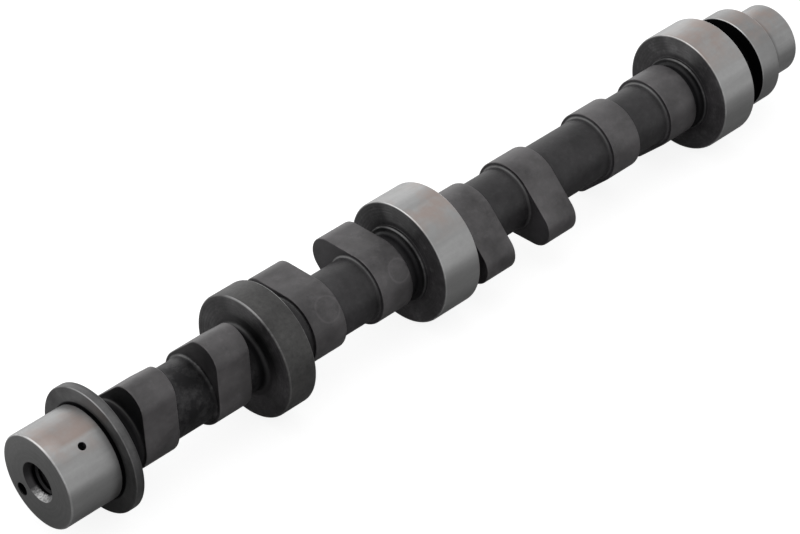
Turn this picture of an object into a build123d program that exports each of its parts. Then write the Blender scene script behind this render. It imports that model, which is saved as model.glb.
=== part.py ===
from build123d import *
from math import acos, cos, radians, sin, tan
import os

# Overhead camshaft of a four-cylinder engine, two lobes to a cylinder, in millimetres.
# Stations are measured along the axis from the front (sprocket) end face; +Z is up.
# The finished solid's origin is the middle of the front journal, with +X to the rear.

# Cylinder spacing and lobe stations
PITCH = 78.2            # distance between cylinders
FIRST_CYLINDER = 59.0   # front face to the middle of cylinder 1's pair of lobes
PAIR_SPACING = 33.0     # between the two lobes of one cylinder
LOBE_WIDTH = 14.8

# Cam profile: a tangent cam, base circle and nose circle joined by straight flanks
BASE_RADIUS = 14.5
LIFT = 9.3
NOSE_RADIUS = 8.2
LOBE_EDGE = 0.4         # broken edge round each lobe
POSE_ANGLE = 21.0       # cylinder 1's noses, turned from straight up towards -Y
NOSE_STEPS = (0, -90, 90, 180)   # cylinders 1 to 4 of the firing order 1-3-4-2

# Shaft between the journals
CORE_RADIUS = 12.5
CORE_FILLET = 1.7       # cast root where the core meets a journal
LOBE_FLARE = 1.2        # plain cone where it meets a lobe
ROUND_HANDLE = 0.5523   # handle length of a cubic curve that follows a quarter circle of radius 1

# Front journal and thrust flange
FRONT_JOURNAL_RADIUS = 18.0
FRONT_JOURNAL_LENGTH = 21.5
FRONT_EDGE = 0.8
UNDERCUT_WIDTH = 1.0
UNDERCUT_DEPTH = 0.7
UNDERCUT_EDGE = 0.3
FLANGE_RADIUS = 24.2
FLANGE_WIDTH = 3.5
FLANGE_EDGE = 0.5

# Bearing journals: the first disc is left as turned, the other two are ground
DISC_RADIUS = 24.2
DISC_WIDTH = 12.4
DISC_EDGE = 0.9
JOURNAL_RADIUS = 24.5
JOURNAL_WIDTH = 17.5
JOURNAL_PLACES = (1.506, 3.494)   # in pitches behind cylinder 1: just off midway between cylinders
JOURNAL_EDGE = 0.6
HUB_RADIUS = 15.2       # turned ring where the core meets a journal's front face
HUB_HEIGHT = 1.5
HUB_EDGE = 0.7

# Rear neck, collar and spigot
NECK_RADIUS = 13.0
NECK_LENGTH = 11.02
COLLAR_RADIUS = 19.8
COLLAR_WIDTH = 10.2
COLLAR_EDGE = 0.7
SPIGOT_RADIUS = 14.6
SPIGOT_FLARE = 0.8
SPIGOT_LENGTH = 17.2
END_EDGE = 0.9

# Front bolt hole, its countersink, the dowel hole and the oil hole
BOLT_RADIUS = 6.0       # thread major radius, M12
BOLT_DEPTH = 30.0
BOLT_SINK_RADIUS = 7.6
BOLT_SINK_DEPTH = 2.4
DRILL_POINT = 118.0
DOWEL_RADIUS = 2.5
DOWEL_DEPTH = 9.0
DOWEL_EDGE = 0.25
DOWEL_CIRCLE_RADIUS = 12.8
DOWEL_ANGLE = -134.0    # from straight up, towards -Y
OIL_RADIUS = 1.5
OIL_STATION = 12.1
OIL_ANGLE = 34.0        # from straight up, towards -Y

# Centre drilled in the rear end for turning between centres
CENTRE_RADIUS = 3.6
CENTRE_PILOT_RADIUS = 1.6
CENTRE_PILOT_DEPTH = 7.0

flange_start = FRONT_JOURNAL_LENGTH + UNDERCUT_WIDTH
journal_stations = [FIRST_CYLINDER + n * PITCH for n in JOURNAL_PLACES]
collar_start = journal_stations[1] + JOURNAL_WIDTH / 2 + NECK_LENGTH
collar_end = collar_start + COLLAR_WIDTH
total_length = collar_end + SPIGOT_LENGTH
disc_station = FIRST_CYLINDER + 0.5 * PITCH
lobe_stations = [(FIRST_CYLINDER + n * PITCH + side * PAIR_SPACING / 2, POSE_ANGLE + step)
                 for n, step in enumerate(NOSE_STEPS) for side in (-1, 1)]


def radial(angle):
    """Unit direction square to the axis, turned from straight up towards -Y."""
    return Vector(0, -sin(radians(angle)), cos(radians(angle)))


def turned(corners):
    """Solid of revolution about X.

    Each corner is (station, radius), or (station, radius, "round" or "break", size)
    where a square corner is filleted or chamfered."""
    with BuildSketch(Plane.XZ) as profile:
        with BuildLine():
            here = first = Vector(*corners[0][:2])
            for before, corner, after in zip(corners, corners[1:], corners[2:] + corners[:1]):
                at = Vector(*corner[:2])
                shape, size = corner[2:] or ("plain", 0)
                arrive = (at - Vector(*before[:2])).normalized() * size
                leave = (Vector(*after[:2]) - at).normalized() * size
                if (at - arrive - here).length > 1e-6:
                    Line(here, at - arrive)
                here = at + leave
                if shape == "break":
                    Line(at - arrive, here)
                elif shape == "round":
                    pull = 1 - ROUND_HANDLE
                    Bezier(at - arrive, at - arrive * pull, at + leave * pull, here)
            Line(here, first)
        make_face()
    return revolve(profile.sketch, Axis.X)


def band(start, end, radius, edge, before=CORE_RADIUS, after=CORE_RADIUS):
    """Corners of a turned band with broken edges, filleted into the core at each side."""
    return [(start, before, "round", CORE_FILLET), (start, radius, "break", edge),
            (end, radius, "break", edge), (end, after, "round", CORE_FILLET)]


def seat(station):
    """Corners of the core under a lobe, flared out into both of its sides."""
    start, end, wide = station - LOBE_WIDTH / 2, station + LOBE_WIDTH / 2, CORE_RADIUS + LOBE_FLARE
    return [(start - LOBE_FLARE, CORE_RADIUS), (start, wide), (end, wide), (end + LOBE_FLARE, CORE_RADIUS)]


def journal(station, after):
    """Corners of a ground journal with the hub ring turned on its front face."""
    start, end = station - JOURNAL_WIDTH / 2, station + JOURNAL_WIDTH / 2
    ring = [(start - HUB_HEIGHT, CORE_RADIUS, "round", CORE_FILLET),
            (start - HUB_HEIGHT, HUB_RADIUS, "break", HUB_EDGE), (start, HUB_RADIUS)]
    return ring + band(start, end, JOURNAL_RADIUS, JOURNAL_EDGE, after=after)[1:]


def shaft():
    """Journals, flange, core, collar and spigot, turned in one."""
    undercut = FRONT_JOURNAL_RADIUS - UNDERCUT_DEPTH
    front = [(0, 0), (0, FRONT_JOURNAL_RADIUS, "break", FRONT_EDGE),
             (FRONT_JOURNAL_LENGTH, FRONT_JOURNAL_RADIUS, "break", UNDERCUT_EDGE),
             (FRONT_JOURNAL_LENGTH, undercut), (flange_start, undercut)]
    front += band(flange_start, flange_start + FLANGE_WIDTH, FLANGE_RADIUS, FLANGE_EDGE)[1:]
    half = DISC_WIDTH / 2
    groups = [seat(station) for station, _ in lobe_stations]
    groups += [band(disc_station - half, disc_station + half, DISC_RADIUS, DISC_EDGE)]
    groups += [journal(journal_stations[0], CORE_RADIUS), journal(journal_stations[1], NECK_RADIUS)]
    rear = band(collar_start, collar_end, COLLAR_RADIUS, COLLAR_EDGE, before=NECK_RADIUS)[:3]
    rear += [(collar_end, SPIGOT_RADIUS, "break", SPIGOT_FLARE),
             (total_length, SPIGOT_RADIUS, "break", END_EDGE), (total_length, 0)]
    return turned(front + [corner for group in sorted(groups) for corner in group] + rear)


def lobe(station, nose_angle):
    """One tangent cam, its nose pointing along nose_angle."""
    reach = BASE_RADIUS + LIFT - NOSE_RADIUS
    flank = acos((BASE_RADIUS - NOSE_RADIUS) / reach)
    c, s = cos(flank), sin(flank)
    base, tip = (BASE_RADIUS * s, BASE_RADIUS * c), (NOSE_RADIUS * s, reach + NOSE_RADIUS * c)
    side = Plane(origin=(station - LOBE_WIDTH / 2, 0, 0), x_dir=radial(nose_angle - 90), z_dir=(1, 0, 0))
    with BuildPart() as body:
        with BuildSketch(side):
            with BuildLine():
                Line(base, tip)
                ThreePointArc(tip, (0, reach + NOSE_RADIUS), (-tip[0], tip[1]))
                Line((-tip[0], tip[1]), (-base[0], base[1]))
                ThreePointArc((-base[0], base[1]), (0, -BASE_RADIUS), base)
            make_face()
        extrude(amount=LOBE_WIDTH)
        chamfer(body.faces().filter_by(Axis.X).edges(), LOBE_EDGE)
    return body.part


def front_holes():
    """Bolt hole with countersink and drill point, dowel hole, oil hole."""
    point = BOLT_RADIUS / tan(radians(DRILL_POINT / 2))
    bolt = turned([(-1, 0), (-1, BOLT_SINK_RADIUS), (0, BOLT_SINK_RADIUS), (BOLT_SINK_DEPTH, BOLT_RADIUS),
                   (BOLT_DEPTH, BOLT_RADIUS), (BOLT_DEPTH + point, 0)])
    mouth = DOWEL_RADIUS + DOWEL_EDGE
    dowel = turned([(-1, 0), (-1, mouth), (0, mouth), (DOWEL_EDGE, DOWEL_RADIUS),
                    (DOWEL_DEPTH, DOWEL_RADIUS), (DOWEL_DEPTH, 0)])
    dowel = Pos(*(radial(DOWEL_ANGLE) * DOWEL_CIRCLE_RADIUS)) * dowel
    away = radial(OIL_ANGLE)
    start = Plane(origin=Vector(OIL_STATION, 0, 0) + away * (BOLT_RADIUS - 1.5), x_dir=(1, 0, 0), z_dir=away)
    oil = extrude(start * Circle(OIL_RADIUS), FRONT_JOURNAL_RADIUS)
    return [bolt, dowel, oil]


def rear_centre():
    """Sixty-degree centre with its pilot drilling."""
    cone = total_length - (CENTRE_RADIUS - CENTRE_PILOT_RADIUS) / tan(radians(30))
    bottom = total_length - CENTRE_PILOT_DEPTH
    return turned([(total_length + 1, 0), (total_length + 1, CENTRE_RADIUS), (total_length, CENTRE_RADIUS),
                   (cone, CENTRE_PILOT_RADIUS), (bottom, CENTRE_PILOT_RADIUS), (bottom, 0)])


def camshaft():
    body = shaft()
    for station, angle in lobe_stations:
        body = body + lobe(station, angle)
    for tool in front_holes() + [rear_centre()]:
        body = body - tool
    return Pos(X=-FRONT_JOURNAL_LENGTH / 2) * body


os.makedirs("parts", exist_ok=True)
solids = camshaft().solids()
assert len(solids) == 1, "the camshaft must be one solid"
export_step(solids[0], "parts/camshaft.step")
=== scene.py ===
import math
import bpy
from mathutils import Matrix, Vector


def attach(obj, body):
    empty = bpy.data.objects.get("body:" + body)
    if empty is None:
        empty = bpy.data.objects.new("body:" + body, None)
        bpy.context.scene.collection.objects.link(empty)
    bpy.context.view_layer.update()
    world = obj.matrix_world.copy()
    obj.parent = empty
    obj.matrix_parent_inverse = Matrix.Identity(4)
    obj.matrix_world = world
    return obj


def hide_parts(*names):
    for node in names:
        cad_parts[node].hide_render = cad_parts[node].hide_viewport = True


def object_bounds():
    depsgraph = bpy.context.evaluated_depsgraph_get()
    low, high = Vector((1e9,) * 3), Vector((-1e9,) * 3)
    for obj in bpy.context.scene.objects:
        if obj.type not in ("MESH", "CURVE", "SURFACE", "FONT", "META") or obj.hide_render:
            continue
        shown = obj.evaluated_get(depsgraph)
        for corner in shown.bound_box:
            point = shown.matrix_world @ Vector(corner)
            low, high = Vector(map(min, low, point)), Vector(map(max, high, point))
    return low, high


bl_info = {
    "name": "Engine Camshaft",
    "version": (1, 0, 0),
    "blender": (4, 5, 0),
    "location": "3D Viewport > Sidebar > Camshaft",
    "description": "Builds a ground and phosphated four-cylinder camshaft with its studio stage",
    "category": "Add Mesh",
}

import bmesh
import bpy
from mathutils import Matrix, Vector

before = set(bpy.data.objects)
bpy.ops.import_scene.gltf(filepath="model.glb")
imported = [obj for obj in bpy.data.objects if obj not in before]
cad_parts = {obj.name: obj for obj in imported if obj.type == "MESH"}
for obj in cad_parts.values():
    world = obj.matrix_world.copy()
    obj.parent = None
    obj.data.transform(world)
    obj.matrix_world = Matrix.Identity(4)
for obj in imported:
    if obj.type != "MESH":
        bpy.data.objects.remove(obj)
cad_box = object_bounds()

NODE = "camshaft"
FRONT = cad_box[0].x                 # the drilled end face
REAR = cad_box[1].x
LENGTH = REAR - FRONT
FLOOR = cad_box[0].z
MM = 0.001

# Layout of the shaft
JOURNAL_PLACES = (1.506, 3.494)      # ground journals, in pitches behind cylinder 1
NOSE_STEPS = (0, -90, 90, 180)       # degrees, cylinders 1 to 4 of the firing order 1-3-4-2
DRILL_POINT = 0.6                    # height of a drilled hole's end cone, in hole radii
CENTRE_RADII = (3.6 * MM, 1.6 * MM)  # turning centre in the rear face: mouth of its cone, and its pilot
CENTRE_DEPTHS = (3.5 * MM, 7 * MM)   # depths of the cone and of the pilot

# Rounds on the corners of the turned outline
SINK_ROUND, FRONT_ROUND, FRONT_REAR_ROUND = 0.12 * MM, 0.7 * MM, 0.25 * MM
UNDERCUT_ROUND, UNDERCUT_ROOT = 0.2 * MM, 0.3 * MM
FLANGE_ROUND, DISC_ROUND, JOURNAL_ROUND = 0.45 * MM, 0.8 * MM, 0.5 * MM
HUB_ROUND, HUB_ROOT = 0.8 * MM, 0.15 * MM
COLLAR_ROUND, SPIGOT_ROOT, SPIGOT_ROUND, CENTRE_ROUND = 0.6 * MM, 0.7 * MM, 0.8 * MM, 0.1 * MM
FINE_ROUND = 0.3 * MM                # rounds up to this size get fewer segments
FLARE = 0.98                         # a lobe root's round, as a share of its height

# Thread section, in pitches, and its fit in the hole
THREAD_ROOT_HALF, THREAD_CREST_HALF = 0.44, 0.09
THREAD_BITE, THREAD_RUNOUT = 0.02 * MM, 2 * MM

# Facets round a full turn
SHAFT_FACETS, LOBE_FACETS, DRILL_FACETS, THREAD_STEPS = 144, 160, 48, 48

# Mesh tests and shading
SAME_POINT = 0.002 * MM
SAME_RING = 0.01 * MM
FLAT_ANGLE = math.radians(0.2)
RIM_ANGLE = 1.2                      # radians: a lobe's edge between running face and side turns by more
SMOOTH, SHAFT_SMOOTH, THREAD_SMOOTH = 30, 32, 50       # degrees: edges that turn by more stay sharp
FLAT_WEIGHT = 80

# Noises: scale in features to a metre, detail, roughness
CLOUDS, RUBS, GRIT = (70.0, 5.0, 0.62), (240.0, 6.0, 0.72), (620.0, 4.0, 0.7)
FILM_AND_SHEEN, SOOT, SCUFFS = (95.0, 4.0, 0.6), (170.0, 5.0, 0.7), (1500.0, 4.0, 0.75)
RINGS, STREAKS = (1.0, 4.0, 0.7), (1.0, 3.0, 0.55)     # these two lie on stretched coordinates
STREAKS_LENGTHWISE = 12.0            # features to a metre
STREAKS_ROUND, RINGS_ROUND = 3.5, 0.6                  # features to a radian
LOBE_COARSENESS = 1.4                # the lobes' clouds and rubs are larger by this

# Lean of a surface, from 0 on round ones to 1 on side faces: limits and softness of a mask
EDGE_LEAN, SIDE_LEAN, FLAT_LEAN = (0.3, 0.93, 0.2), (0.75, 0.3), (0.9, 0.1)

# Surface: reflectance as IOR, and relief as bump distance and strength
SHAFT_IOR, LOBE_IOR = 1.62, 1.75
SHAFT_RELIEF, LOBE_RELIEF = (0.03 * MM, 0.55), (0.02 * MM, 0.5)

# Marks: station, radius and reach in millimetres, turns in degrees towards -Y
RING_STAINS = ((122.8, 46, 4.9), (157.0, 52, 4.4))                    # station, turn, radius
# Painted shade, with some oil, on the front faces of the disc and the centre journal
SHADED_FACES = (("disc", 19, 35, 0.7), ("centre", 26, -12, 0.5))       # stretch, reach, turn, amount

# Stage, in metres
FLOOR_HALF = 4.0
SHADE_REACH = 0.3                    # reflections show the floor's glow from about here outwards
BACKDROP_EDGE, BACKDROP_SOFT = 0.07, 0.08
FLOOR_GLOW, SKY_GLOW = 0.85, 0.75
LAMPS = (("key", (0.1, 0.15, 1.3), 1.0), ("back", (1.0, 1.45, 0.5), 1.4), ("side", (-0.9, 0.8, 0.8), 0.5))
SENSOR_WIDTH = 36                    # millimetres
CAMERA_RANGE = (0.01, 20)


def size(name, default, description):
    return bpy.props.FloatProperty(name=name, description=description, default=default * MM,
                                   unit="LENGTH", subtype="DISTANCE", precision=4)


def shade(name, default, description):
    return bpy.props.FloatVectorProperty(name=name, description=description, default=default,
                                         subtype="COLOR", size=3, min=0, max=1)


def angle(name, degrees, description):
    return bpy.props.FloatProperty(name=name, description=description, default=math.radians(degrees),
                                   subtype="ANGLE")


def power(name, watts, description):
    return bpy.props.FloatProperty(name=name, description=description, default=watts, min=0,
                                   subtype="POWER")


class CamshaftSizes(bpy.types.PropertyGroup):
    pitch: size("Cylinder pitch", 78.2, "Distance between neighbouring cylinders")
    first_cylinder: size("First cylinder", 59.0, "From the front face to the middle of cylinder 1's lobes")
    pair_spacing: size("Pair spacing", 33.0, "Between the two lobes of one cylinder")
    lobe_width: size("Lobe width", 14.8, "Width of a cam lobe along the shaft")
    base_radius: size("Base circle radius", 14.5, "Radius of a lobe's base circle")
    lift: size("Lift", 9.3, "Height of the nose above the base circle")
    nose_radius: size("Nose radius", 8.2, "Radius of the round of a lobe's nose")
    lobe_edge: size("Lobe edge", 0.4, "Broken edge round a lobe")
    core_radius: size("Core radius", 12.5, "Radius of the cast core between lobes")
    lobe_root: size("Lobe root", 1.2, "Fillet where the core meets a lobe")
    core_root: size("Core root", 1.7, "Fillet where the core meets a journal")
    front_radius: size("Front journal radius", 18.0, "Radius of the front journal")
    front_length: size("Front journal length", 21.5, "Length of the front journal")
    undercut_width: size("Undercut width", 1.0, "Groove between front journal and flange")
    undercut_depth: size("Undercut depth", 0.7, "Depth of that groove")
    flange_radius: size("Flange radius", 24.2, "Radius of the thrust flange")
    flange_width: size("Flange width", 3.5, "Thickness of the thrust flange")
    disc_radius: size("Disc radius", 24.2, "Radius of the turned disc behind cylinder 1")
    disc_width: size("Disc width", 12.4, "Width of the turned disc")
    journal_radius: size("Journal radius", 24.5, "Radius of the two ground journals")
    journal_width: size("Journal width", 17.5, "Width of the two ground journals")
    hub_radius: size("Hub radius", 15.2, "Turned ring on a journal's front face")
    hub_height: size("Hub height", 1.5, "How far that ring stands forward")
    neck_radius: size("Neck radius", 13.0, "Radius of the neck behind the rear journal")
    neck_length: size("Neck length", 11.02, "Between the rear journal and the collar")
    collar_radius: size("Collar radius", 19.8, "Radius of the rear collar")
    collar_width: size("Collar width", 10.2, "Width of the rear collar")
    spigot_radius: size("Spigot radius", 14.6, "Radius of the rear end")
    bolt_radius: size("Bolt hole radius", 6.0, "Major radius of the front bolt hole's thread")
    bolt_depth: size("Bolt hole depth", 30.0, "Depth of the front bolt hole")
    sink_radius: size("Countersink radius", 7.6, "Mouth radius of the bolt hole's countersink")
    sink_depth: size("Countersink depth", 2.4, "Depth of that countersink")
    thread_pitch: size("Thread pitch", 1.75, "Pitch of the bolt hole's thread")
    thread_height: size("Thread height", 0.85, "How far a thread crest stands into the hole")
    dowel_radius: size("Dowel hole radius", 2.5, "Radius of the dowel hole")
    dowel_circle: size("Dowel circle radius", 12.8, "From the axis to the dowel hole")
    dowel_depth: size("Dowel hole depth", 9.0, "Depth of the dowel hole")
    oil_radius: size("Oil hole radius", 1.5, "Radius of the oil hole")
    oil_station: size("Oil hole station", 12.1, "From the front face to the oil hole")
    turn: angle("Turn", 21, "Cylinder 1's noses, from straight up towards -Y")
    dowel_turn: angle("Dowel turn", -134, "Dowel hole, from straight up towards -Y")
    oil_turn: angle("Oil hole turn", 34, "Oil hole, from straight up towards -Y")


class CamshaftFinish(bpy.types.PropertyGroup):
    ground: shade("Ground steel", (0.4, 0.4, 0.4), "Ground journals, collar and spigot")
    turned: shade("Turned faces", (0.23, 0.23, 0.23), "Machined front face and thrust flange")
    lobe: shade("Lobe faces", (0.068, 0.0635, 0.066), "Phosphated running faces of the lobes")
    cast: shade("Cast core", (0.0205, 0.0188, 0.0208), "Dark cast core and journal sides")
    # Colour of broken edges, part wear and part painted highlight, and of the countersink's painted
    # highlight
    wear_and_highlight: shade("Worn edge", (0.92, 0.92, 0.92), "Bright broken edges of journals, collar and spigot")
    # Reddish film, laid only on the crown, part real film and part painted warm reflection
    film: shade("Warm film", (0.39, 0.3, 0.265), "Thin reddish film on the ground bands")
    rim: shade("Turned rim", (0.062, 0.061, 0.058), "Rim of the turned disc")
    # Near-black colour, for oil blotches and for painted shade in corners, hollows, bores, the thread and
    # the foremost lobe side
    grime_and_shade: shade("Recesses", (0.006, 0.006, 0.007), "Oil-dark corners and bores")
    grain: size("Turning marks", 1.3, "Spacing of the grinding lines along the shaft")
    groove: size("Turned rings", 1.25, "Spacing of the turned rings on the cast side faces")


class CamshaftStage(bpy.types.PropertyGroup):
    paper: shade("Floor", (0.3, 0.3, 0.3), "Colour of the floor without its white glow")
    backdrop: shade("Backdrop", (0.9, 0.9, 0.9), "Colour of the floor on the far side of the shaft")
    key_power: power("Key light", 2.0, "Power of the large overhead light")
    back_power: power("Back light", 2.6, "Power of the low panel behind the far side")
    side_power: power("Side light", 1.3, "Power of the small lamp beyond the drilled end")
    lens: bpy.props.FloatProperty(name="Lens", description="Focal length on a 36 mm wide film",
                                  default=124.66, min=1)
    camera_place: bpy.props.FloatVectorProperty(
        name="Camera place", description="Camera position, in the frame of the shaft",
        default=(-0.40167, -0.566013, 0.622015), unit="LENGTH", size=3)
    camera_turn: bpy.props.FloatVectorProperty(
        name="Camera turn", description="Camera rotation",
        default=tuple(math.radians(a) for a in (51.887, 0, -44.676)), subtype="EULER", size=3)


def sizes():
    return bpy.context.scene.camshaft_sizes


def finish():
    return bpy.context.scene.camshaft_finish


def stage():
    return bpy.context.scene.camshaft_stage


# ---- shader maths -------------------------------------------------------------------------------

class Shader:
    """A material's nodes, made one at a time from their settings and socket values."""

    def __init__(self, name):
        self.material = bpy.data.materials.new(name)
        self.material.use_nodes = True
        self.tree = self.material.node_tree
        self.tree.nodes.clear()

    def node(self, kind, settings=None, **values):
        """A node of this kind. Sockets are named in lower case with underscores, or numbered as in_0."""
        made = self.tree.nodes.new("ShaderNode" + kind)
        for key, value in (settings or {}).items():
            setattr(made, key, value)
        sockets = [socket for socket in reversed(made.inputs) if socket.enabled]
        named = {socket.name.lower().replace(" ", "_"): socket for socket in sockets}
        for key, value in values.items():
            socket = made.inputs[int(key[3:])] if key.startswith("in_") else named[key]
            if isinstance(value, Field):
                self.tree.links.new(value.socket, socket)
            elif socket.type == "RGBA" and len(value) == 3:
                socket.default_value = (*value, 1)
            else:
                socket.default_value = value
        return made

    def field(self, kind, settings=None, output=0, **values):
        """One output of a new node, by its number, ready for sums."""
        return Field(self, self.node(kind, settings, **values).outputs[output])

    def math(self, operation, *values):
        return self.field("Math", {"operation": operation}, **{f"in_{i}": v for i, v in enumerate(values)})

    def most(self, *masks):
        """The strongest of several masks."""
        strongest = masks[0]
        for mask in masks[1:]:
            strongest = self.math("MAXIMUM", strongest, mask)
        return strongest

    def blend(self, factor, low, high):
        """The colour low at factor 0, and high at factor 1."""
        return self.field("Mix", {"data_type": "RGBA", "clamp_factor": True}, 2,
                          in_0=factor, in_6=low, in_7=high)

    def surface(self, **values):
        """The finished material: a Principled surface with these values."""
        out = self.node("OutputMaterial")
        shaded = self.node("BsdfPrincipled", **values)
        self.tree.links.new(shaded.outputs[0], out.inputs[0])
        return self.material


class Field:
    """A socket that adds Math nodes when it is used in a sum."""

    def __init__(self, shader, socket):
        self.shader, self.socket = shader, socket

    def __add__(self, other):
        return self.shader.math("ADD", self, other)

    def __sub__(self, other):
        return self.shader.math("SUBTRACT", self, other)

    def __rsub__(self, other):
        return self.shader.math("SUBTRACT", other, self)

    def __mul__(self, other):
        return self.shader.math("MULTIPLY", self, other)

    def __truediv__(self, other):
        return self.shader.math("DIVIDE", self, other)

    __radd__, __rmul__ = __add__, __mul__

    def clamp(self):
        return self.shader.field("Clamp", value=self)

    def over(self, edge, soft):
        """0 below edge and 1 above it, over a soft width."""
        return ((self - edge) / soft + 0.5).clamp()

    def between(self, low, high, soft):
        """1 between low and high, and 0 outside, over a soft width at both."""
        return self.over(low, soft) * (1 - self.over(high, soft))


def bump(shader, height, distance, strength):
    return shader.field("Bump", strength=strength, distance=distance, height=height)


# ---- finishes -----------------------------------------------------------------------------------

def scaled(colour, amount):
    """The colour made brighter or darker."""
    return tuple(channel * amount for channel in colour)


def painted(m, base, *layers):
    """The base colour with each layer's colour laid on it through the layer's mask, in order."""
    for mask, colour in layers:
        base = m.blend(mask, base, colour)
    return base


def stations():
    """Named stretches of the shaft, as stations from the front face."""
    s = sizes()
    centre, rear = (s.first_cylinder + place * s.pitch for place in JOURNAL_PLACES)
    half, disc_half = s.journal_width / 2, s.disc_width / 2
    disc = s.first_cylinder + s.pitch / 2
    flange = s.front_length + s.undercut_width
    collar = rear + half + s.neck_length
    return {
        "front": (0.0, s.front_length), "undercut": (s.front_length, flange),
        "flange": (flange, flange + s.flange_width), "disc": (disc - disc_half, disc + disc_half),
        "centre": (centre - half, centre + half), "rear": (rear - half, rear + half),
        "neck": (rear + half, collar), "collar": (collar, collar + s.collar_width),
        "spigot": (collar + s.collar_width, LENGTH),
    }


class Skin:
    """Where a point lies on the shaft, how its surface leans, and the uneven fields it is painted with."""

    def __init__(self, m, coarseness=1.0):
        self.m = m
        self.place = m.field("TexCoord", output=3)
        parts = m.node("SeparateXYZ", vector=self.place)
        x, y, z = (Field(m, parts.outputs[i]) for i in range(3))
        self.station = x - FRONT
        self.radius = m.math("SQRT", y * y + z * z)
        self.angle = m.math("ARCTAN2", y, z)
        facing = m.node("SeparateXYZ", vector=m.field("NewGeometry", output=1))
        self.lean = m.math("ABSOLUTE", Field(m, facing.outputs[0]))    # 1 on side faces, 0 on round ones
        self.edge = self.lean.between(*EDGE_LEAN)                      # the rounded edges between them
        self.side = self.lean.over(*SIDE_LEAN)                         # side faces and their edges
        self.rings = self.noise(RINGS, place=self.lathe_place(1 / finish().grain, RINGS_ROUND))
        self.streaks = self.noise(STREAKS, place=self.lathe_place(STREAKS_LENGTHWISE, STREAKS_ROUND))
        self.clouds = ((self.noise(CLOUDS, coarseness) - 0.5) * 2.4 + 0.5).clamp()
        self.rubs = self.noise(RUBS, coarseness).over(0.62, 0.22)      # small rubbed or worn spots
        self.grit = self.noise(GRIT)
        waves = m.math("SINE", self.radius * (2 * math.pi / finish().groove)) * 0.5 + 0.5
        self.grooves = waves * self.side * self.clouds                 # turned rings on side faces

    def noise(self, kind, coarseness=1.0, place=None):
        """Fractal noise, 0 to 1, on the place or on a stretched copy of it."""
        scale, detail, roughness = kind
        return self.m.field("TexNoise", {"noise_dimensions": "3D"}, vector=place or self.place,
                            scale=scale / coarseness, detail=detail, roughness=roughness)

    def lathe_place(self, across, around):
        """Coordinates that run along and round the shaft, at two scales, for lines and streaks."""
        return self.m.field("CombineXYZ", x=self.station * across, y=self.radius * across,
                            z=self.angle * around)

    def within(self, name, soft=0.2 * MM, before=0.0, after=0.0):
        """Mask of a named stretch of the shaft, made longer by before and after at its ends."""
        low, high = stations()[name]
        return self.station.between(low - before, high + after, soft)

    def towards(self, turn, low, soft):
        """Mask of the side that faces a turn in degrees, from straight up towards -Y."""
        return self.m.math("COSINE", self.angle + math.radians(turn)).over(low, soft)

    def away(self, point, lengthwise=1.0):
        """Distance from a point, or from the line through it along the shaft if lengthwise is 0."""
        flat = self.m.field("VectorMath", {"operation": "MULTIPLY"}, in_0=self.place,
                            in_1=(lengthwise, 1, 1))
        point = (point.x * lengthwise, point.y, point.z)
        return self.m.field("VectorMath", {"operation": "DISTANCE"}, 1, in_0=flat, in_1=point)


def ground_mask(at):
    """The ground bands: front journal, centre and rear journal, collar and spigot."""
    s = sizes()
    bands = (("front", s.front_radius), ("centre", s.journal_radius), ("rear", s.journal_radius),
             ("collar", s.collar_radius), ("spigot", s.spigot_radius))
    return at.m.most(*(at.within(name, 0.15 * MM, -0.05 * MM, -0.05 * MM)
                       * at.radius.over(radius - 0.75 * MM, 0.1 * MM) for name, radius in bands))


def ground_steel(at):
    """Streaks along the shaft, a reddish film with a painted warm reflection on the crown, a painted dark
    reflection band on the front journal, a duller collar and painted shade in the corner behind it.
    """
    m, look = at.m, finish()
    corner_start = stations()["spigot"][0]
    turn = 0 - at.angle                                    # radians towards -Y
    streaks = ((at.streaks - 0.5) * 1.8 + 0.5).clamp()
    pores = at.grit.over(0.5, 0.6) * 0.22
    dull_collar = at.within("collar") * (0.3 + 0.4 * at.clouds)
    # painted shade on the spigot just behind the collar
    corner_shade = at.station.between(corner_start, corner_start + 5.6 * MM, 1.2 * MM) * 0.6
    dull_spigot = at.within("spigot") * at.clouds * 0.45
    # reddish film on the crown, part real film and part painted warm reflection
    film = at.noise(FILM_AND_SHEEN).over(0.5, 0.2) * at.towards(10, 0.88, 0.16) * 0.6
    # painted reflection of a dark band, along the front journal near its crown
    dark_reflection_band = at.within("front", 4 * MM, -5 * MM, -1.0 * MM) \
        * turn.over(0.0, 0.7) * (1 - turn.over(0.42, 0.08)) * (0.35 + 0.6 * at.streaks)
    steel = m.blend(streaks, scaled(look.ground, 0.82), scaled(look.ground, 1.18))
    return painted(m, steel, (pores, scaled(look.ground, 0.5)), (dull_collar, scaled(look.ground, 0.55)),
                   (corner_shade, scaled(look.ground, 0.25)), (dull_spigot, scaled(look.ground, 0.55)),
                   (film, look.film), (dark_reflection_band, scaled(look.film, 0.72)))


def faced_steel(at):
    """Machined end faces and thrust flange, with turning lines; the flange is stained darker."""
    m, look = at.m, finish()
    pores = at.grit.over(0.5, 0.5) * 0.2
    stain = at.within("flange", 0.1 * MM, 0.1 * MM, 0.1 * MM) * (0.3 + 0.5 * at.clouds)
    lines = m.blend(at.rings, scaled(look.turned, 0.72), scaled(look.turned, 1.28))
    return painted(m, lines, (pores, scaled(look.turned, 0.4)), (stain, look.cast))


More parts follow.
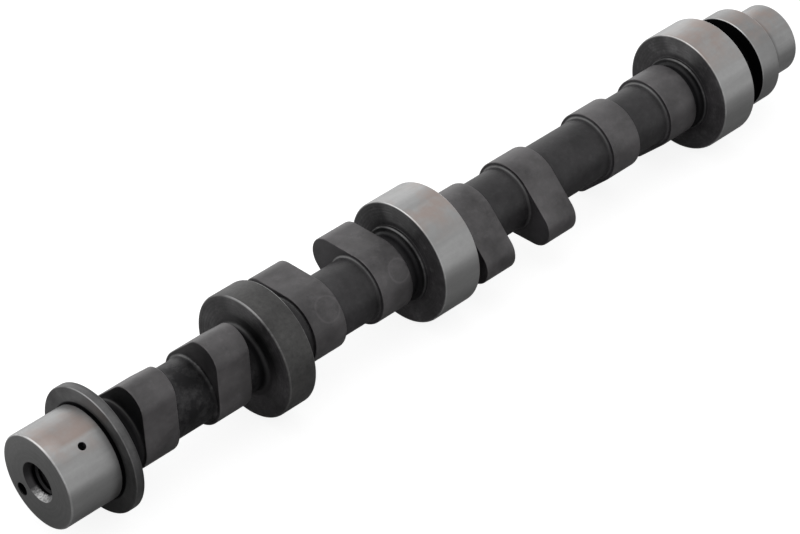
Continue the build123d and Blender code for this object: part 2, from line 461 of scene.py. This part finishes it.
def cast_iron(at):
    """Dark casting skin: turned side faces paler towards their lower side, a warmer disc rim, painted
    highlights on the lobe flares, and oil blotches with painted shade.
    """
    m, s, look = at.m, sizes(), finish()
    rings = at.grooves * at.radius.over(s.hub_radius, 2 * MM) * 0.8
    # side faces paler towards their lower -Y side
    paler_lower_side = at.side * at.towards(115, 0.35, 0.8) * (0.25 + 0.5 * at.clouds)
    rim = at.within("disc") * at.radius.over(s.disc_radius - 1.2 * MM, 0.4 * MM) * (0.4 + 0.5 * at.clouds)
    specks = at.rubs * 0.07
    pores = at.grit.over(0.52, 0.3) * 0.5
    # painted highlights on the lobe flares, strongest where they face up
    flare_highlights = at.radius.between(s.core_radius + 0.25 * MM, s.core_radius + 1.0 * MM, 0.25 * MM) * at.edge \
        * (0.1 + 0.55 * at.towards(-15, 0.55, 0.8) * (0.5 + at.clouds))
    skin = m.blend(at.clouds, scaled(look.cast, 0.5), scaled(look.cast, 1.45))
    return painted(m, skin, (rings, scaled(look.cast, 2.6)), (paler_lower_side, scaled(look.cast, 3.2)),
                   (rim, look.rim), (specks, look.turned), (pores, scaled(look.cast, 0.4)),
                   (flare_highlights, look.turned), (soot_and_shade_mask(at), look.grime_and_shade))


def soot_and_shade_mask(at):
    """Oil-dark iron and painted shade: oil blotches from cylinder 1's first lobe to the disc, with painted
    shade on their lower side, painted shade deep in the corners before disc and journals, and painted shade
    with some oil fading out over the front faces of the disc and the centre journal."""
    m, s = at.m, sizes()
    start = {name: low for name, (low, high) in stations().items()}
    shallow = 1 - at.radius.over(s.hub_radius, 1.2 * MM)
    # painted shade deep in the corners before the disc and the journals
    corners = m.most(*(at.station.between(start[name] - 5 * MM, start[name] + 0.2 * MM, 4 * MM)
                       for name in ("disc", "centre", "rear"))) * shallow * 0.85
    # oil blotches, with painted shade added on the lower side
    blotches_and_low_shade = (at.noise(SOOT).over(0.44, 0.2) * 0.75 + at.towards(70, 0.2, 0.8) * 0.25).clamp()
    pair = at.station.between(s.first_cylinder - s.pair_spacing / 2, start["disc"] + 0.2 * MM, 4 * MM) \
        * shallow * blotches_and_low_shade * 0.72
    # painted shade, with some oil, on the front faces of the disc and the centre journal
    faces = [at.station.between(start[name] - 2 * MM, start[name] + 0.1 * MM, 0.2 * MM)
             * (1 - at.radius.over(reach * MM, 4 * MM)) * at.towards(turn, 0.55, 0.7) * amount
             for name, reach, turn, amount in SHADED_FACES]
    return m.most(corners, pair, *faces)


def hollow_shade_mask(at):
    """Painted shade in the undercut, neck, the corner behind the flange, the bolt hole and the dowel hole.
    """
    s = sizes()
    undercut = at.within("undercut", 0.1 * MM, 0.1 * MM, 0.05 * MM) \
        * (1 - at.radius.over(s.front_radius + 0.6 * MM, 0.6 * MM))
    neck = at.within("neck", 0.1 * MM, -0.2 * MM, 0.1 * MM)
    flange_end = stations()["flange"][1]
    # painted shade in the corner behind the flange
    behind = 0.75 * at.station.between(flange_end - 0.1 * MM, flange_end + 9 * MM, 3 * MM)
    bore = (1 - at.radius.over(s.bolt_radius + 0.3 * MM, 0.4 * MM)) \
        * at.station.between(s.sink_depth * 0.6, s.bolt_depth + 6 * MM, 0.6 * MM)
    from_dowel = at.away(along(0, s.dowel_circle, s.dowel_turn), 0)
    dowel = (1 - from_dowel.over(s.dowel_radius + 0.05 * MM, 0.1 * MM)) \
        * at.station.between(0.3 * MM, s.dowel_depth + 2 * MM, 0.4 * MM)
    return at.m.most(undercut, neck, behind, bore, dowel)


def wear_and_highlight_mask(at):
    """Bright broken edges, part wear and part painted highlight: strongest where they face up, fainter on
    flange, disc, hub rings and spigot.
    """
    s = sizes()
    small = 1 - at.radius.over(s.front_radius - MM, 0.5 * MM)
    faint = at.m.most(0.55 * at.within("disc"), 0.55 * at.within("flange"), 0.75 * small)
    # painted highlight, strongest on edges that face up, over rubbed spots
    amount = 0.12 + 0.3 * at.rubs + 0.5 * at.towards(2, 0.93, 0.1) * (0.5 + at.clouds)
    return at.edge * at.radius.over(s.spigot_radius - MM, 0.5 * MM) * amount * (1 - faint)


def countersunk(at, base):
    """The bolt hole's countersink: painted shade above, scuffs with a painted highlight below."""
    m, s, look = at.m, sizes(), finish()
    sink = at.edge * (1 - at.radius.over(s.sink_radius + 0.3 * MM, 0.1 * MM)) \
        * (1 - at.station.over(s.sink_depth, 0.5 * MM))
    below = at.towards(140, 0.45, 0.5)
    # painted shade on the upper part, scuffs with a painted highlight on the lower part
    shaded = sink * (1 - below) * 0.85
    scuffs_and_highlight = sink * below * at.noise(SCUFFS).over(0.5, 0.2) * 0.5
    return painted(m, base, (shaded, look.cast), (scuffs_and_highlight, look.wear_and_highlight))


def shaft_material():
    """Ground bands, turned faces and a dark cast core, told apart by station and radius."""
    look, where = finish(), stations()
    m = Shader("shaft_finish")
    at = Skin(m)
    ground, hollow_shade = ground_mask(at), hollow_shade_mask(at)
    casting = at.station.between(where["flange"][1] + 0.05 * MM, where["spigot"][1] - 1.5 * MM, 0.2 * MM)
    turned = (1 - casting) * (1 - ground)
    # edges with wear and painted highlight, kept out of the hollows
    wear_and_highlight = wear_and_highlight_mask(at) * (1 - hollow_shade)
    # hollows get painted shade, edges their wear and painted highlight
    base = painted(m, cast_iron(at), (turned, faced_steel(at)), (ground, ground_steel(at)),
                   (hollow_shade, look.grime_and_shade), (wear_and_highlight, look.wear_and_highlight))
    metal = m.most(ground, turned, wear_and_highlight)
    rough = 0.5 - 0.1 * metal + 0.08 * (at.rings - 0.5) + 0.1 * (at.clouds - 0.5) + 0.3 * hollow_shade
    rings = at.rings * (0.5 + 0.4 * turned)
    height = rings + at.grooves * at.side * (1 - turned) * 3.0 + at.grit * (1 - metal) * 4.0
    metallic = m.most(0.47 - 0.36 * at.clouds, metal, hollow_shade, soot_and_shade_mask(at))
    return m.surface(base_color=countersunk(at, base), roughness=rough, metallic=metallic,
                     ior=SHAFT_IOR, normal=bump(m, height, *SHAFT_RELIEF))


def lobe_material():
    """Phosphated running face with paler edges of wear and painted highlight, ring stains, darker sides and
    painted shade on the foremost side.
    """
    s, look = sizes(), finish()
    m = Shader("lobe_finish")
    at = Skin(m, LOBE_COARSENESS)
    marks = [(at.streaks.over(0.5, 0.5) * 0.4, scaled(look.lobe, 0.55)),
             (at.rubs * 0.35, scaled(look.lobe, 2.2))]
    for station, turn, reach in RING_STAINS:
        away = at.away(along(station * MM, s.base_radius, math.radians(turn)))
        ring = away.between((reach - 0.3) * MM, (reach + 0.3) * MM, 0.6 * MM) * (0.3 + at.clouds) * 0.6
        marks.append((ring, scaled(look.lobe, 1.9)))
    foremost_side = s.first_cylinder - (s.pair_spacing + s.lobe_width) / 2
    # painted shade on the foremost lobe side, in the corner behind the flange
    foremost_shade = 1 - at.station.over(foremost_side + 0.5 * MM, 0.3 * MM)
    past_disc = at.station.over(stations()["disc"][1], MM)
    dark_sides = m.blend(at.clouds, scaled(look.cast, 0.5), scaled(look.cast, 1.1))
    pale_sides = m.blend(at.clouds, scaled(look.cast, 0.9), scaled(look.cast, 2.2))
    sides = painted(m, dark_sides, (past_disc, pale_sides), (foremost_shade, look.grime_and_shade))
    # paler lobe edges, part wear and part painted highlight
    wear_and_highlight = at.edge * (0.14 + 0.45 * at.rubs)
    running_face = m.blend(at.clouds, scaled(look.lobe, 0.5), scaled(look.lobe, 1.55))
    base = painted(m, running_face, *marks, (at.lean.over(*FLAT_LEAN), sides),
                   (wear_and_highlight, scaled(look.lobe, 2.6)))
    rough = 0.43 + 0.16 * (at.clouds - 0.5) + 0.06 * (at.rings - 0.5)
    return m.surface(base_color=base, roughness=rough, metallic=0.56 - 0.44 * at.clouds, ior=LOBE_IOR,
                     normal=bump(m, at.rings + at.clouds * 0.6 + at.grit, *LOBE_RELIEF))


def thread_material():
    """Thread in painted shade of the deep bore, a little paler in spots."""
    look = finish()
    m = Shader("thread_finish")
    at = Skin(m)
    # painted shade of the deep bore
    base = m.blend(at.grit, look.grime_and_shade, scaled(look.cast, 0.6))
    return m.surface(base_color=base, roughness=0.42 + 0.1 * at.grit, metallic=0.5)


# ---- meshes -------------------------------------------------------------------------------------

def as_object(form, name):
    """The bmesh as an object in the scene, at the origin."""
    mesh = bpy.data.meshes.new(name)
    form.to_mesh(mesh)
    form.free()
    made = bpy.data.objects.new(name, mesh)
    bpy.context.scene.collection.objects.link(made)
    return made


def keep(form, name, material, smooth=SMOOTH):
    """A bmesh made into a finished piece on the root body."""
    bmesh.ops.recalc_face_normals(form, faces=form.faces)
    piece = as_object(form, name)
    piece.data.materials.append(material)
    soften(piece.data, smooth)
    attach(piece, "root")
    return piece


def soften(mesh, degrees):
    """Smooth shading, with edges steeper than this kept sharp."""
    for face in mesh.polygons:
        face.use_smooth = True
    mesh.set_sharp_from_angle(angle=math.radians(degrees))


def weigh_normals(piece):
    """Keeps flat faces flat in shading, beside their rounded edges."""
    weigh = piece.modifiers.new("weighted_normals", "WEIGHTED_NORMAL")
    weigh.keep_sharp = True
    weigh.weight = FLAT_WEIGHT


def along(station, radius, turn=0.0):
    """Point at a station and radius, turned from straight up towards -Y."""
    return Vector((FRONT + station, -radius * math.sin(turn), radius * math.cos(turn)))


def lobe_middles():
    """Stations of the middles of lobes 1 to 8."""
    s = sizes()
    return [s.first_cylinder + cylinder * s.pitch + side * s.pair_spacing
            for cylinder in range(4) for side in (-0.5, 0.5)]


def ring_place(vertex):
    """A vertex's station and radius in the frame, in millimetres to two places."""
    return round(vertex.co.x / MM, 2), round(math.hypot(*vertex.co.yz) / MM, 2)


def is_ring(edge):
    """Whether an edge runs round the shaft."""
    a, b = edge.verts
    rise = math.hypot(*a.co.yz) - math.hypot(*b.co.yz)
    return abs(a.co.x - b.co.x) < SAME_RING and abs(rise) < SAME_RING


def shaft_corners():
    """(station, radius, round) corners of the outline, from the bolt hole's end to the rear centre."""
    s, where = sizes(), stations()
    groove = s.front_radius - s.undercut_depth
    corners = [(s.bolt_depth + DRILL_POINT * s.bolt_radius, 0, 0), (s.bolt_depth, s.bolt_radius, 0),
               (s.sink_depth, s.bolt_radius, 0), (0, s.sink_radius, SINK_ROUND),
               (0, s.front_radius, FRONT_ROUND), (s.front_length, s.front_radius, FRONT_REAR_ROUND),
               (s.front_length, groove, UNDERCUT_ROUND), (where["flange"][0], groove, UNDERCUT_ROOT)]

    def band(low, high, radius, edge, before=s.core_radius, after=s.core_radius):
        return [(low, before, s.core_root), (low, radius, edge), (high, radius, edge),
                (high, after, s.core_root)]

    groups = [band(*where["flange"], s.flange_radius, FLANGE_ROUND)[1:],
              band(*where["disc"], s.disc_radius, DISC_ROUND)]
    for name, after in (("centre", s.core_radius), ("rear", s.neck_radius)):
        low, high = where[name]
        hub = low - s.hub_height
        ring = [(hub, s.core_radius, s.core_root), (hub, s.hub_radius, HUB_ROUND),
                (low, s.hub_radius, HUB_ROOT)]
        groups.append(ring + band(low, high, s.journal_radius, JOURNAL_ROUND, after=after)[1:])
    flare, wide = s.lobe_root * FLARE, s.core_radius + s.lobe_root
    for middle in lobe_middles():
        low, high = middle - s.lobe_width / 2, middle + s.lobe_width / 2
        groups.append([(low, s.core_radius, flare), (low, wide, 0), (high, wide, 0),
                       (high, s.core_radius, flare)])
    for group in sorted(groups):
        corners += group
    (collar_start, collar_end), (mouth, pilot), (cone, depth) = where["collar"], CENTRE_RADII, CENTRE_DEPTHS
    corners += [(collar_start, s.neck_radius, s.core_root), (collar_start, s.collar_radius, COLLAR_ROUND),
                (collar_end, s.collar_radius, COLLAR_ROUND), (collar_end, s.spigot_radius, SPIGOT_ROOT),
                (LENGTH, s.spigot_radius, SPIGOT_ROUND), (LENGTH, mouth, CENTRE_ROUND),
                (LENGTH - cone, pilot, 0), (LENGTH - depth, pilot, 0), (LENGTH - depth, 0, 0)]
    return corners


def cutter(radius, depth, matrix, name):
    """Closed cylinder that stands for a drill in a cut."""
    drill = bmesh.new()
    bmesh.ops.create_cone(drill, cap_ends=True, segments=DRILL_FACETS, radius1=radius, radius2=radius,
                          depth=depth, matrix=matrix)
    return as_object(drill, name)


def cut(piece, drills):
    """Cuts each drill out of the piece and removes the drills."""
    for drill in drills:
        hole = piece.modifiers.new("hole", "BOOLEAN")
        hole.operation, hole.solver, hole.object = "DIFFERENCE", "EXACT", drill
    bpy.context.view_layer.update()
    graph = bpy.context.evaluated_depsgraph_get()
    done = bpy.data.meshes.new_from_object(piece.evaluated_get(graph))
    piece.modifiers.clear()
    old, piece.data = piece.data, done
    done.name = piece.name
    bpy.data.meshes.remove(old)
    for drill in drills:
        bpy.data.meshes.remove(drill.data)


class CAMSHAFT_OT_shaft(bpy.types.Operator):
    """Turn the shaft: journals, flange, core, collar and spigot, with its drilled ends"""
    bl_idname = "camshaft.shaft"
    bl_label = "Shaft"

    def execute(self, context):
        s = sizes()
        corners = shaft_corners()
        turning = bmesh.new()
        points = [turning.verts.new(along(station, radius)) for station, radius, _ in corners]
        outline = [turning.edges.new(pair) for pair in zip(points, points[1:])]
        bmesh.ops.spin(turning, geom=points + outline, cent=(0, 0, 0), axis=(1, 0, 0), angle=2 * math.pi,
                       steps=SHAFT_FACETS, use_merge=True)
        bmesh.ops.remove_doubles(turning, verts=turning.verts, dist=SAME_POINT)
        bmesh.ops.recalc_face_normals(turning, faces=turning.faces)
        for amount in sorted({wanted for _, _, wanted in corners if wanted}):
            rings = {(round((FRONT + station) / MM, 2), round(radius / MM, 2))
                     for station, radius, wanted in corners if wanted == amount}
            picked = [edge for edge in turning.edges
                      if is_ring(edge) and all(ring_place(vertex) in rings for vertex in edge.verts)]
            bmesh.ops.bevel(turning, geom=picked, offset=amount, offset_type="OFFSET", affect="EDGES",
                            segments=5 if amount > FINE_ROUND else 2, profile=0.5, material=-1,
                            clamp_overlap=True)
        piece = keep(turning, "shaft", shaft_material())
        mouth = Matrix.Translation(along(0, s.dowel_circle, s.dowel_turn))
        dowel = cutter(s.dowel_radius, 2 * s.dowel_depth, mouth @ Matrix.Rotation(math.pi / 2, 4, "Y"),
                       "dowel_drill")
        mouth = Matrix.Translation(along(s.oil_station, s.front_radius, s.oil_turn))
        oil = cutter(s.oil_radius, s.front_radius, mouth @ Matrix.Rotation(s.oil_turn, 4, "X"), "oil_drill")
        cut(piece, [dowel, oil])
        soften(piece.data, SHAFT_SMOOTH)
        weigh_normals(piece)
        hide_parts(NODE)
        return {"FINISHED"}


class CAMSHAFT_OT_lobes(bpy.types.Operator):
    """Cast and grind the eight tangent cam lobes, two to a cylinder"""
    bl_idname = "camshaft.lobes"
    bl_label = "Lobes"

    def execute(self, context):
        s = sizes()
        material = lobe_material()
        reach = s.base_radius + s.lift - s.nose_radius
        across = Matrix.Rotation(math.pi / 2, 4, "Y")
        for number, middle in enumerate(lobe_middles()):
            turn = Matrix.Rotation(s.turn + math.radians(NOSE_STEPS[number // 2]), 4, "X")
            place = Matrix.Translation((FRONT + middle, 0, 0)) @ turn
            cam = bmesh.new()
            for radius, height in ((s.base_radius, 0), (s.nose_radius, reach)):
                circle = place @ Matrix.Translation((0, 0, height)) @ across
                bmesh.ops.create_cone(cam, cap_ends=False, segments=LOBE_FACETS, radius1=radius,
                                      radius2=radius, depth=s.lobe_width, matrix=circle)
            hull = bmesh.ops.convex_hull(cam, input=cam.verts)
            spare = [v for v in hull["geom_interior"] if isinstance(v, bmesh.types.BMVert) and v.is_valid]
            bmesh.ops.delete(cam, geom=spare, context="VERTS")
            loose = [f for f in cam.faces if len(f.verts) == 4 and not all(e.is_manifold for e in f.edges)]
            bmesh.ops.delete(cam, geom=loose, context="FACES")
            bmesh.ops.dissolve_limit(cam, angle_limit=FLAT_ANGLE, verts=cam.verts, edges=cam.edges)
            bmesh.ops.recalc_face_normals(cam, faces=cam.faces)
            rim = [e for e in cam.edges if e.is_manifold and e.calc_face_angle(0) > RIM_ANGLE]
            bmesh.ops.bevel(cam, geom=rim, offset=s.lobe_edge, offset_type="OFFSET", affect="EDGES",
                            segments=3, profile=0.5, material=-1, clamp_overlap=True)
            weigh_normals(keep(cam, f"lobe_{number + 1}", material))
        return {"FINISHED"}


class CAMSHAFT_OT_thread(bpy.types.Operator):
    """Cut the thread of the front bolt hole"""
    bl_idname = "camshaft.thread"
    bl_label = "Bolt hole thread"

    def execute(self, context):
        s = sizes()
        ridge = bmesh.new()
        root, crest = s.bolt_radius + THREAD_BITE, s.bolt_radius - s.thread_height
        half, flat = s.thread_pitch * THREAD_ROOT_HALF, s.thread_pitch * THREAD_CREST_HALF
        start = s.sink_depth + half
        section = ridge.faces.new([ridge.verts.new(along(start + shift, radius)) for shift, radius in
                                   ((-half, root), (-flat, crest), (flat, crest), (half, root))])
        turns = int((s.bolt_depth - start - THREAD_RUNOUT) / s.thread_pitch)
        bmesh.ops.spin(ridge, geom=[section], cent=(0, 0, 0), axis=(1, 0, 0), angle=2 * math.pi * turns,
                       dvec=(s.thread_pitch / THREAD_STEPS, 0, 0), steps=THREAD_STEPS * turns)
        keep(ridge, "bolt_hole_thread", thread_material(), THREAD_SMOOTH)
        return {"FINISHED"}


def floor_material():
    """Pale floor. The camera sees it glow white; reflections see that glow only away from the shaft, the
    floor near it left in painted shade.
    """
    look = stage()
    m = Shader("floor_paper")
    place = m.node("SeparateXYZ", vector=m.field("TexCoord", output=3))
    x, y = Field(m, place.outputs[0]), Field(m, place.outputs[1])
    beyond_ends = m.most(m.math("ABSOLUTE", x - (FRONT + REAR) / 2) - LENGTH / 2, 0)
    away = m.math("SQRT", beyond_ends * beyond_ends + y * y)
    # painted shade: near the shaft, reflections see the floor without its glow
    unshaded_floor = away.over(SHADE_REACH, SHADE_REACH)
    paths = m.node("LightPath").outputs
    camera_ray, glossy_ray, clear_ray = (Field(m, paths[f"Is {kind} Ray"])
                                         for kind in ("Camera", "Glossy", "Transmission"))
    seen = m.most(camera_ray, m.most(glossy_ray, clear_ray) * unshaded_floor)
    backdrop = y.over(BACKDROP_EDGE, BACKDROP_SOFT)
    paper = m.node("BsdfDiffuse", color=m.blend(backdrop, look.paper, look.backdrop))
    glow = m.node("Emission", color=(1, 1, 1), strength=FLOOR_GLOW)
    both, pick, out = m.node("AddShader"), m.node("MixShader", fac=seen), m.node("OutputMaterial")
    for shader, target in ((paper, both.inputs[0]), (glow, both.inputs[1]), (paper, pick.inputs[1]),
                           (both, pick.inputs[2]), (pick, out.inputs[0])):
        m.tree.links.new(shader.outputs[0], target)
    return m.material


class CAMSHAFT_OT_stage(bpy.types.Operator):
    """Lay the pale floor and set the lamps, world and camera"""
    bl_idname = "camshaft.stage"
    bl_label = "Stage"

    def execute(self, context):
        look, scene = stage(), context.scene
        floor = bmesh.new()
        bmesh.ops.create_grid(floor, x_segments=1, y_segments=1, size=FLOOR_HALF,
                              matrix=Matrix.Translation((0, 0, FLOOR)))
        sheet = as_object(floor, "floor")
        sheet.data.materials.append(floor_material())

        scene.world = bpy.data.worlds.new("studio")
        scene.world.use_nodes = True
        sky = scene.world.node_tree.nodes["Background"].inputs
        sky["Color"].default_value, sky["Strength"].default_value = (1, 1, 1, 1), SKY_GLOW

        middle = Vector(((FRONT + REAR) / 2, 0, 0))
        for name, place, width in LAMPS:
            lamp = bpy.data.lights.new(name, "AREA")
            lamp.shape, lamp.size, lamp.energy = "SQUARE", width, getattr(look, f"{name}_power")
            body = bpy.data.objects.new(name, lamp)
            scene.collection.objects.link(body)
            body.location = Vector(place)
            body.rotation_euler = (middle - body.location).to_track_quat("-Z", "Y").to_euler()
        camera = bpy.data.cameras.new("camera")
        camera.lens, camera.sensor_width = look.lens, SENSOR_WIDTH
        camera.clip_start, camera.clip_end = CAMERA_RANGE
        view = bpy.data.objects.new("camera", camera)
        scene.collection.objects.link(view)
        view.location, view.rotation_euler = look.camera_place, look.camera_turn
        scene.camera = view
        scene.view_settings.view_transform = "Standard"
        return {"FINISHED"}


class CAMSHAFT_PT_panel(bpy.types.Panel):
    bl_label = "Camshaft"
    bl_idname = "CAMSHAFT_PT_panel"
    bl_space_type = "VIEW_3D"
    bl_region_type = "UI"
    bl_category = "Camshaft"

    def draw(self, context):
        for operator in STEPS:
            self.layout.operator(operator.bl_idname)
        for group in (sizes(), finish(), stage()):
            column = self.layout.column()
            for name in group.bl_rna.properties.keys():
                if name not in ("rna_type", "name"):
                    column.prop(group, name)


STEPS = (CAMSHAFT_OT_shaft, CAMSHAFT_OT_lobes, CAMSHAFT_OT_thread, CAMSHAFT_OT_stage)
CLASSES = (CamshaftSizes, CamshaftFinish, CamshaftStage, *STEPS, CAMSHAFT_PT_panel)


def register():
    for item in CLASSES:
        bpy.utils.register_class(item)
    bpy.types.Scene.camshaft_sizes = bpy.props.PointerProperty(type=CamshaftSizes)
    bpy.types.Scene.camshaft_finish = bpy.props.PointerProperty(type=CamshaftFinish)
    bpy.types.Scene.camshaft_stage = bpy.props.PointerProperty(type=CamshaftStage)


def unregister():
    del bpy.types.Scene.camshaft_stage, bpy.types.Scene.camshaft_finish, bpy.types.Scene.camshaft_sizes
    for item in reversed(CLASSES):
        bpy.utils.unregister_class(item)


def main():
    register()
    bpy.ops.camshaft.shaft()
    bpy.ops.camshaft.lobes()
    bpy.ops.camshaft.thread()
    bpy.ops.camshaft.stage()


if __name__ == "__main__":
    main()
